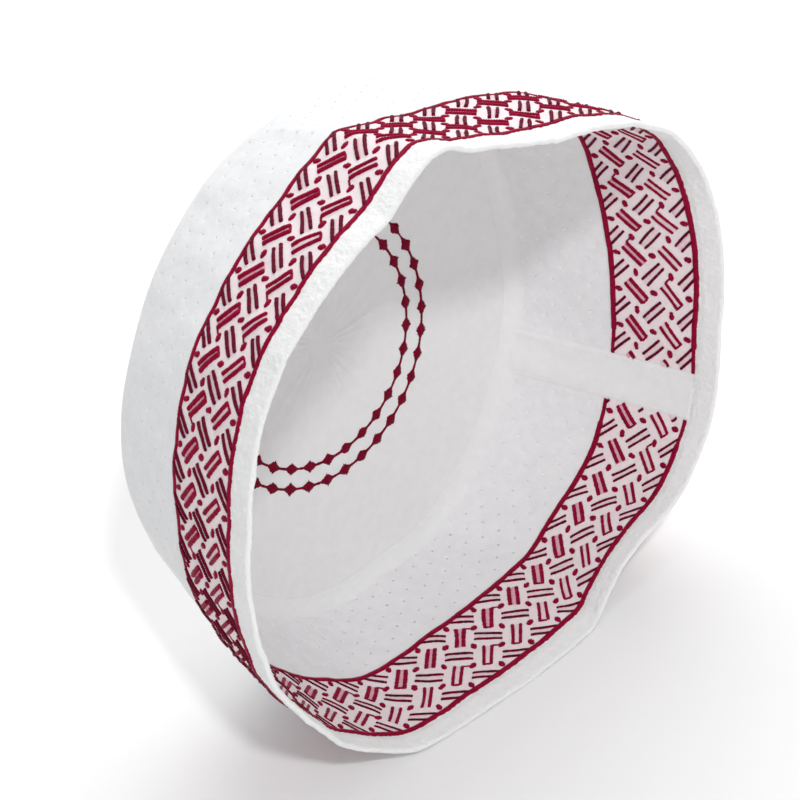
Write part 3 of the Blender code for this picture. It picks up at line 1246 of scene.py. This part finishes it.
    def build_stitches(self, side: Side, finishes: Sequence[bpy.types.Material]) -> bpy.types.Object:
        """Build the stitches of one face.

        Args:
            side: The face.
            finishes: The crimson thread, its copy darkened with painted shade, and the pink and pale
                threads.

        Returns:
            The piece.
        """
        draws = np.random.default_rng(self.seed + (side is Side.INSIDE))
        kinds, lay = self.kinds(side), partial(self.laid, side=side, draws=draws)
        whole, halves = self.chart(False, False), self.chart(True, True)
        upper = halves[:, 1] < self.form.band_width / 2
        rise, fall, gap = math.pi / 4, -math.pi / 4, self.bar_spacing / 2
        # the whole-row bars take the crimson thread drawn darker, painted shade in place of the satin
        # sheen
        dark = [lay(kinds.whole_bar, whole, rise, shift) for shift in (-gap, gap)]
        crimson = [lay(kinds.upper_bar, halves[upper], fall, shift) for shift in (-gap, gap)]
        crimson += [lay(kinds.half_bar, halves[~upper], fall, shift) for shift in (-gap, gap)]
        closed = halves[draws.random(len(halves)) < self.closed_share]
        end = (self.cross_inset - self.bar_length / 2) / math.sqrt(2)
        crimson.append(lay(kinds.cross, closed + [end, -end], rise))
        tailed = halves[draws.random(len(halves)) < self.tailed_share]
        crimson.append(lay(kinds.tail, tailed + self.row_pitch * np.array(self.tail_place), rise))
        crimson.append(lay(kinds.dot, self.chart(False, True), self.row_dot_turn))
        crimson.append(lay(kinds.dot, self.chart(True, False), self.half_row_dot_turn))
        for across in (self.border_inset, self.form.band_width - self.border_inset):
            line = np.array([[self.form.length / 2, across, 0.0, 1.0]])
            crimson.append(kinds.border.lay(line, self.face(side), side is Side.INSIDE, draws))
        pink = [lay(kinds.pad, halves[upper], fall)]
        pale = [lay(kinds.pad, halves[~upper], fall), lay(kinds.pad, whole, rise)]
        parts = [join_parts(kind) for kind in (crimson, dark, pink, pale)]
        name = f"basketweave_stitches_{side.value}"
        return make_piece(name, parts, finishes, sharp=SATIN_SHARP)

    def build(self) -> list[bpy.types.Object]:
        """Build the band.

        Returns:
            Its ground and the stitches of both faces.
        """
        ground = self.build_ground()
        finishes = [finish.make() for finish in (self.crimson, self.dark, self.pink, self.pale)]
        stitches = [self.build_stitches(side, finishes) for side in Side]
        self.form.length
        return [ground, *stitches]


@dataclass(frozen=True)
class FoldedHem:
    """The plain margin below the band, folded over at the opening."""

    form: CapForm
    finish: CottonCloth = HEM_COTTON
    thickness: float = 1.6 * MM
    start_thickness: float = 1.1 * MM  # where it leaves the band
    swell: float = 3.0 * MM  # the drop over which it reaches its full thickness
    steps_along: int = 1440
    steps_down: int = 15
    fold_steps: int = 6
    fluff: float = 0.07 * MM
    sharp: float = 80.0  # degrees, so that the fluff is shaded soft
    seed: int = 5

    def build(self) -> bpy.types.Object:
        """Build the hem.

        Returns:
            The piece, which stands for the solid rim_hem.
        """
        start, end = self.form.band_end, self.form.wall_height
        bend = self.thickness / 2
        down = np.linspace(start, end - bend, self.steps_down)
        turn = np.linspace(0.0, math.pi, self.fold_steps + 2)[1:-1]
        drops = np.concatenate([down, end - bend + bend * np.sin(turn), down[::-1]])
        swell = np.clip((down[::-1] - start) / self.swell, 0.0, 1.0)
        smooth = swell * swell * (3 - 2 * swell)
        back = self.start_thickness + (self.thickness - self.start_thickness) * smooth
        depths = np.concatenate([0 * down, bend - bend * np.cos(turn), back])
        loop = self.form.joint_width + self.form.length
        ways = np.arange(self.steps_along) / self.steps_along * loop - self.form.joint_width / 2
        way, drop = np.meshgrid(ways, drops, indexing="ij")
        draws = np.random.default_rng(self.seed)
        rough = draws.standard_normal(way.shape)
        rough = (rough + np.roll(rough, 1, 0) + np.roll(rough, 1, 1) + np.roll(rough, -1, 0)) / 2
        outwards = np.sign(bend - depths)
        depth = depths + 0 * way - self.fluff * rough * outwards
        points = self.form.on_wall(way, drop, depth)
        hem = swept(points, np.stack([way, drop], axis=-1) / MM, True)
        piece = make_piece("folded_hem", [hem], [self.finish.make()], sharp=self.sharp)
        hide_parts("rim_hem")
        return piece


@dataclass(frozen=True)
class BackJoint:
    """The doubled strip where the two ends of the wall are sewn together."""

    form: CapForm
    finish: CottonCloth = JOINT_COTTON
    thread: SatinThread = SEWING_THREAD
    thickness: float = 1.3 * MM
    edge_thickness: float = 0.9 * MM
    top: float = 1.7 * MM
    edge: float = 1.3 * MM
    steps_across: int = 24
    steps_down: int = 80
    stitch_inset: float = 1.9 * MM
    stitch_pitch: float = 2.6 * MM
    stitch_width: float = 0.4 * MM
    stitch_height: float = 0.2 * MM
    seed: int = 7

    def face(self, side: Side) -> Place:
        """Choose the face of the strip.

        Args:
            side: The face.

        Returns:
            The function that gives points from along the cloth, down it, and height above the face.
        """

        def place(along: Array, across: Array, rise: Array) -> Array:
            """Give points above the chosen face.

            Args:
                along: Distances along the cloth from the strip's middle line.
                across: Drops from the crown's edge.
                rise: Heights above the face.

            Returns:
                The points.
            """
            share = along / (self.form.joint_width / 2)
            angle = self.form.joint_angle + share * self.form.joint_half_angle(across)
            return self.form.wall(angle, across, -rise if side is Side.OUTSIDE else self.thickness + rise)

        return place

    def build(self) -> list[bpy.types.Object]:
        """Build the joint.

        Returns:
            The strip, which stands for the solid back_joint, and its topstitching.
        """
        half = self.form.joint_width / 2
        off = np.linspace(-half, half, self.steps_across)
        drops = np.linspace(self.top, self.form.band_end, self.steps_down)
        way, drop = np.meshgrid(off, drops, indexing="ij")
        angle = self.form.joint_angle + way / half * self.form.joint_half_angle(drop)
        rounding = np.sqrt(np.clip((half - np.abs(way)) / self.edge, 0.0, 1.0))
        outer = self.form.wall(angle, drop, 0 * way)
        depth = self.edge_thickness + (self.thickness - self.edge_thickness) * rounding
        inner = self.form.wall(angle, drop, depth)
        strip = two_faced(outer, inner, np.stack([way, drop], axis=-1) / MM)
        piece = make_piece("back_joint_strip", [strip], [self.finish.make()])
        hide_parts("back_joint")
        draws = np.random.default_rng(self.seed)
        stitch = SatinStitch(
            TOPSTITCH_SHARE * self.stitch_pitch, self.stitch_width, self.stitch_height, 1, Outline.DOT
        )
        runs = np.arange(self.top + self.stitch_pitch, self.form.band_end, self.stitch_pitch)
        edge = half - self.stitch_inset
        places = np.array([(along, run, math.pi / 2, 1.0) for along in (-edge, edge) for run in runs])
        faces = [stitch.lay(places, self.face(side), side is Side.INSIDE, draws) for side in Side]
        sewn = make_piece("joint_topstitches", [join_parts(faces)], [self.thread.make()])
        return [piece, sewn]


@dataclass(frozen=True)
class CrownTop:
    """The round top of the cap with its seam, sewn rays and embroidered diamonds."""

    form: CapForm
    finish: CottonCloth = CROWN_COTTON
    seam_finish: CottonCloth = SEAM_COTTON
    crimson: SatinThread = DIAMOND_SATIN
    thread: SatinThread = SEWING_THREAD
    thickness: float = 0.9 * MM
    steps_around: int = 480
    ring_step: float = 1.5 * MM
    ray_count: int = 28
    ray_reach: float = 33.0 * MM
    ray_start: float = 1.0 * MM
    ray_height: float = 0.42 * MM
    ray_rise: float = 5.0 * MM  # over which they begin
    ray_fade: float = 18.0 * MM  # over which they die out
    ray_sway: float = 0.9  # radians that they stray from even steps
    ray_sway_turns: int = 3
    ray_unevenness: float = 0.4  # how unlike their heights are
    ray_height_turns: int = 5
    ray_height_start: float = 1.3  # radians
    ray_middle: tuple[float, float] = (3.0 * MM, -1.5 * MM)  # where the rays meet, off the axis
    seam_width: float = 5.0 * MM
    seam_rounding: float = 1.0 * MM
    seam_lip: float = 0.35 * MM  # how far its outer side stands back over the wall's tucked edge
    seam_foot: float = 0.92 * MM  # its thickness at its inner edge
    seam_fillet: float = 4.0 * MM  # how far it comes down the wall's inner face
    seam_grip: float = 0.8 * MM  # from the wall's outer face to where the seam meets it
    fillet_steps: int = 11
    bend_steps: int = 5
    stitch_inset: float = 1.2 * MM  # of the topstitching from the seam's inner edge
    stitch_pitch: float = 2.8 * MM
    stitch_width: float = 0.35 * MM
    stitch_height: float = 0.15 * MM
    pucker: float = 0.10 * MM
    pucker_count: int = 130
    gap: float = 0.04 * MM  # from the seam to the disc
    diamond_length: float = 6.0 * MM
    diamond_width: float = 4.0 * MM
    diamond_height: float = 0.55 * MM
    diamond_strands: int = 9
    line_width: float = 0.85 * MM
    line_height: float = 0.4 * MM
    line_strand: float = 0.9 * MM
    seed: int = 3

    def rays(self, angle: Array, radius: Array) -> Array:
        """Give the sewn rays that fan out from the crown's middle.

        Args:
            angle: Angles in degrees.
            radius: Distances from the middle.

        Returns:
            How far the cloth is drawn in.
        """
        x = radius * np.cos(np.radians(angle)) - self.ray_middle[0]
        z = radius * np.sin(np.radians(angle)) - self.ray_middle[1]
        turn, reach = np.arctan2(z, x), np.hypot(x, z)
        sway = self.ray_sway * np.sin(self.ray_sway_turns * turn)
        wave = 0.5 + 0.5 * np.cos(turn * self.ray_count + sway)
        swing = np.sin(self.ray_height_turns * turn + self.ray_height_start)
        strength = 1 - self.ray_unevenness + self.ray_unevenness * swing
        into = np.clip((reach - self.ray_start) / self.ray_rise, 0.0, 1.0)
        fade = np.clip((self.ray_reach - reach) / self.ray_fade, 0.0, 1.0)
        return self.ray_height * wave**2 * strength * into * fade

    def build_disc(self) -> bpy.types.Object:
        """Build the disc of cloth.

        Returns:
            The piece, which stands for the solid crown_panel.
        """
        angle = np.arange(self.steps_around) / self.steps_around * 360.0
        edge = self.form.crown_edge(angle) - self.seam_width - self.gap
        shares = np.linspace(0.0, 1.0, round(float(edge.mean()) / self.ring_step) + 1)[1:]
        radius = edge[:, None] * shares
        turn = angle[:, None] + 0 * radius
        sewn = self.rays(turn, radius)
        outer = self.form.on_crown(turn, radius, sewn)
        inner = self.form.on_crown(turn, radius, self.thickness + sewn)
        sections = np.concatenate([outer, inner[:, ::-1]], axis=1)
        around = np.radians(turn)
        flat = np.stack([radius * np.cos(around), radius * np.sin(around)], axis=-1) / MM
        rows, columns, _ = sections.shape
        faces = grid_faces(rows, columns, True, False).tolist()
        zero = np.zeros(1)
        middles = [self.form.on_crown(zero, zero, zero + depth) for depth in (0.0, self.thickness)]
        points = np.concatenate([sections.reshape(-1, 3), *middles])
        outer_middle, inner_middle = rows * columns, rows * columns + 1
        for i in range(rows):
            here, there = i * columns, (i + 1) % rows * columns
            faces.append([outer_middle, there, here])
            faces.append([inner_middle, here + columns - 1, there + columns - 1])
        both = np.concatenate([flat, flat[:, ::-1]], axis=1).reshape(-1, 2)
        disc = MeshParts(points, faces, np.concatenate([both, np.zeros((2, 2))]))
        piece = make_piece("crown_disc", [disc], [self.finish.make()])
        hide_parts("crown_panel")
        return piece

    def fillet(self, turn: Array, share: Array) -> Array:
        """Give the seam's inner face, which turns softly from the wall to the crown.

        Args:
            turn: Angles in degrees.
            share: Shares of the turn, 0 on the wall and 1 on the crown.

        Returns:
            The points.
        """
        edge = self.form.crown_edge(turn)
        low = self.form.wall(turn, self.seam_fillet + 0 * turn, self.seam_grip + 0 * turn)
        corner = self.form.on_crown(turn, edge - self.seam_grip, self.seam_foot)
        high = self.form.on_crown(turn, edge - self.seam_width, self.seam_foot)
        s = share[..., None]
        return (1 - s) ** 2 * low + 2 * s * (1 - s) * corner + s**2 * high

    def fillet_depth(self, inset: Array) -> Array:
        """Give the depth of the seam's inner face near the crown.

        Args:
            inset: Distances in from the crown's edge.

        Returns:
            Its depths below the crown's outer face.
        """
        run = (inset - self.seam_grip) / (self.seam_width - self.seam_grip)
        share = np.sqrt(np.clip(run, 0.0, 1.0))
        return self.seam_foot + (self.seam_fillet - self.seam_foot) * (1 - share) ** 2

    def build_seam(self) -> list[bpy.types.Object]:
        """Build the doubled fold where the crown meets the wall.

        Returns:
            The fold, which stands for the solid crown_seam, and its topstitching.
        """
        width, thick, bend = self.seam_width, self.form.seam_thickness, self.seam_rounding
        turns = np.linspace(0.0, math.pi / 2, self.bend_steps)
        top = np.linspace(width, bend, self.bend_steps + 1)[:-1]
        inward = np.concatenate([top, bend - bend * np.sin(turns), [self.seam_lip]])
        down = np.concatenate([0 * top, bend - bend * np.cos(turns), [(bend + thick) / 2]])
        angle = np.arange(self.steps_around) / self.steps_around * 360.0
        turn, into = np.meshgrid(angle, inward, indexing="ij")
        waves = np.sin(np.radians(turn) * self.pucker_count)
        draw = self.pucker * waves * np.clip(into / width, 0.0, 1.0)
        edge = self.form.crown_edge(turn)
        outer = self.form.on_crown(turn, edge - into, down - draw)
        outer_map = np.stack([np.radians(turn) * edge, into + down], axis=-1)
        turned, share = np.meshgrid(angle, np.linspace(0.0, 1.0, self.fillet_steps), indexing="ij")
        inner = self.fillet(turned, share)
        run = (1 - share) * self.seam_fillet + share * width
        inner_map = np.stack([np.radians(turned) * self.form.crown_edge(turned), run], axis=-1)
        points = np.concatenate([outer, inner], axis=1)
        seam = swept(points, np.concatenate([outer_map, inner_map], axis=1) / MM, True)
        piece = make_piece("crown_seam_fold", [seam], [self.seam_finish.make()])
        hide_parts("crown_seam")
        length = 2 * math.pi * float(edge.mean())
        sewn = self.build_topstitches(round(length / self.stitch_pitch))
        return [piece, sewn]

    def build_topstitches(self, count: int) -> bpy.types.Object:
        """Build the topstitching near the seam's inner edge, on both faces.

        Args:
            count: How many stitches go round.

        Returns:
            The piece.
        """
        stitch = SatinStitch(
            TOPSTITCH_SHARE * self.stitch_pitch, self.stitch_width, self.stitch_height, 1, Outline.DOT
        )
        step = 360.0 / count
        places = np.array([(k * step, self.stitch_inset, 0.0, 1.0) for k in range(count)])
        draws = np.random.default_rng(self.seed)

        def place(along: Array, across: Array, rise: Array, side: Side) -> Array:
            """Give points above one face of the seam.

            Args:
                along: A stitch's angle in degrees, with its own length added in metres.
                across: Distances from the seam's inner edge.
                rise: Heights above the face.
                side: The face.

            Returns:
                The points.
            """
            start = np.round(along / step) * step
            radius = self.form.crown_edge(start) - self.seam_width
            turned = start + np.degrees((along - start) / radius)
            inset = self.seam_width - across
            depth = -rise if side is Side.OUTSIDE else self.fillet_depth(inset) + rise
            return self.form.on_crown(turned, self.form.crown_edge(turned) - inset, depth)

        rows = [stitch.lay(places, partial(place, side=side), side is Side.INSIDE, draws) for side in Side]
        return make_piece("crown_topstitches", [join_parts(rows)], [self.thread.make()])

    def build_diamonds(
        self, name: str, radius: float, count: int, start: float, side: Side, finish: bpy.types.Material
    ) -> bpy.types.Object:
        """Build one ring of satin diamonds on a thin line of thread.

        Args:
            name: The piece's name.
            radius: The ring's radius.
            count: How many diamonds it has.
            start: The first diamond's angle in degrees.
            side: The face that it is on.
            finish: The thread's material.

        Returns:
            The piece.
        """
        draws = np.random.default_rng(self.seed + count)

        def place(along: Array, across: Array, rise: Array) -> Array:
            """Points above the crown's face, along the ring from its first diamond."""
            depth = -rise if side is Side.OUTSIDE else self.thickness + rise
            return self.form.on_crown(start + np.degrees(along / radius), radius + across, depth)

        ring = 2 * math.pi * radius
        diamond = SatinStitch(
            self.diamond_length, self.diamond_width, self.diamond_height, self.diamond_strands,
            Outline.DIAMOND,
        )
        line = SatinStitch(ring, self.line_width, self.line_height, round(ring / self.line_strand))
        places = np.array([(k * ring / count, 0.0, 0.0, 1.0) for k in range(count)])
        flip = side is Side.INSIDE
        parts = [
            diamond.lay(places, place, flip, draws),
            line.lay(np.array([[ring / 2, 0.0, 0.0, 1.0]]), place, flip, draws),
        ]
        return make_piece(name, [join_parts(parts)], [finish], sharp=SATIN_SHARP)

    def build(self) -> list[bpy.types.Object]:
        """Build the crown.

        Returns:
            Its pieces.
        """
        pieces = [*self.build_seam(), self.build_disc()]
        finish = self.crimson.make()
        rings = (
            # name, radius, number of diamonds, first angle
            ("diamond_ring_outer", 43.1 * MM, 37, 26.0),
            ("diamond_ring_inner", 37.1 * MM, 32, 36.8),
        )
        for node, radius, count, start in rings:
            inside = self.build_diamonds(f"satin_{node}", radius, count, start, Side.INSIDE, finish)
            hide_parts(node)
            back = self.build_diamonds(f"satin_{node}_back", radius, count, start, Side.OUTSIDE, finish)
            pieces += [inside, back]
        return pieces


@dataclass(frozen=True)
class Lamp:
    """One soft lamp of the studio, aimed at the cap."""

    name: str
    azimuth: float  # degrees, seen from the cap
    elevation: float  # degrees above the floor
    distance: float
    size: float
    power: float  # watts


@dataclass(frozen=True)
class Studio:
    """The plain pale floor, the soft light and the camera."""

    target: tuple[float, float, float] = (0.0, 0.0, 0.07)  # the point that the lamps are aimed at
    floor_side: float = 6.0
    floor_drop: float = 0.2 * MM  # below the cap, so that the two don't share a plane
    floor_colour: str = "#F7F7F7"
    world_colour: str = "#FFFFFF"
    world_strength: float = 0.43
    lamps: tuple[Lamp, ...] = (
        Lamp("key_softbox", azimuth=-27.0, elevation=55.0, distance=1.6, size=0.14, power=7.5),
        Lamp("overhead_softbox", azimuth=128.0, elevation=50.0, distance=1.7, size=1.7, power=21.5),
        Lamp("front_softbox", azimuth=-35.0, elevation=22.0, distance=1.8, size=1.2, power=3.6),
    )
    camera_azimuth: float = -42.146  # degrees, as are the next two
    camera_elevation: float = 37.724
    camera_roll: float = -6.334
    camera_eye: tuple[float, float, float] = (-330.7 * MM, -357.1 * MM, 451.5 * MM)
    lens_mm: float = 99.0
    sensor_mm: float = 36.0
    clip_start: float = 10.0 * MM

    @staticmethod
    def towards(azimuth: float, elevation: float) -> Vector:
        """Give the direction to a place round the cap.

        Args:
            azimuth: Degrees, 0 towards -Y and -90 towards -X.
            elevation: Degrees above the floor.

        Returns:
            The unit vector.
        """
        a, e = math.radians(azimuth), math.radians(elevation)
        return Vector((math.sin(a) * math.cos(e), -math.cos(a) * math.cos(e), math.sin(e)))

    def build_floor(self) -> bpy.types.Object:
        """Build the floor.

        Returns:
            The floor, which isn't part of the object.
        """
        half = self.floor_side / 2
        outline = ((-half, -half), (half, -half), (half, half), (-half, half))
        mesh = bpy.data.meshes.new("studio_floor")
        mesh.from_pydata([(x, y, -self.floor_drop) for x, y in outline], [], [[0, 1, 2, 3]])
        finish = bpy.data.materials.new("matt_paper_floor")
        finish.use_nodes = True
        shader = finish.node_tree.nodes["Principled BSDF"]
        shader.inputs["Base Color"].default_value = linear(self.floor_colour)
        shader.inputs["Roughness"].default_value = 1.0
        shader.inputs["Specular IOR Level"].default_value = 0.0
        mesh.materials.append(finish)
        floor = bpy.data.objects.new("studio_floor", mesh)
        bpy.context.scene.collection.objects.link(floor)
        floor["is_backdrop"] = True
        return floor

    def build_light(self) -> None:
        """Build the even sky and the lamps."""
        world = bpy.data.worlds.new("studio_sky")
        world.use_nodes = True
        sky = world.node_tree.nodes["Background"]
        sky.inputs["Color"].default_value = linear(self.world_colour)
        sky.inputs["Strength"].default_value = self.world_strength
        bpy.context.scene.world = world
        for lamp in self.lamps:
            light = bpy.data.lights.new(lamp.name, "AREA")
            light.shape = "DISK"
            light.size = lamp.size
            light.energy = lamp.power
            holder = bpy.data.objects.new(lamp.name, light)
            away = self.towards(lamp.azimuth, lamp.elevation)
            holder.location = Vector(self.target) + away * lamp.distance
            holder.rotation_mode = "QUATERNION"
            holder.rotation_quaternion = away.to_track_quat("Z", "Y")
            bpy.context.scene.collection.objects.link(holder)

    def build_camera(self) -> bpy.types.Object:
        """Build the camera at the photograph's viewing angle.

        Returns:
            The camera.
        """
        lens = bpy.data.cameras.new("camera")
        lens.lens = self.lens_mm
        lens.sensor_width = self.sensor_mm
        lens.clip_start = self.clip_start
        camera = bpy.data.objects.new("camera", lens)
        back = self.towards(self.camera_azimuth, self.camera_elevation)
        level = Vector((0.0, 0.0, 1.0)).cross(back).normalized()
        upright = back.cross(level)
        roll = math.radians(self.camera_roll)
        right = level * math.cos(roll) + upright * math.sin(roll)
        up = upright * math.cos(roll) - level * math.sin(roll)
        turn = Matrix((right, up, back)).transposed().to_4x4()
        camera.matrix_world = Matrix.Translation(self.camera_eye) @ turn
        bpy.context.scene.collection.objects.link(camera)
        bpy.context.scene.camera = camera
        return camera

    def build(self) -> None:
        """Build the studio."""
        bpy.context.scene.view_settings.view_transform = "Standard"
        self.build_floor()
        self.build_light()
        self.build_camera()


def main() -> None:
    """Build the studio and every piece of the cap."""
    logging.basicConfig(level=logging.INFO, format="%(message)s")
    solid_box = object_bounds()
    Studio().build()
    form = CapForm()
    log.info("band length %.1f mm", form.length / MM)
    pieces = CrownTop(form).build()
    pieces.append(PinholeWall(form).build())
    pieces += BasketweaveBand(form).build()
    pieces += BackJoint(form).build()
    pieces.append(FoldedHem(form).build())
    log.info("%d pieces", len(pieces))
    seen_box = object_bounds()
    boxes = {"solid": solid_box, "seen": seen_box}
    {name: [list(corner) for corner in box] for name, box in boxes.items()}


if __name__ == "__main__":
    main()
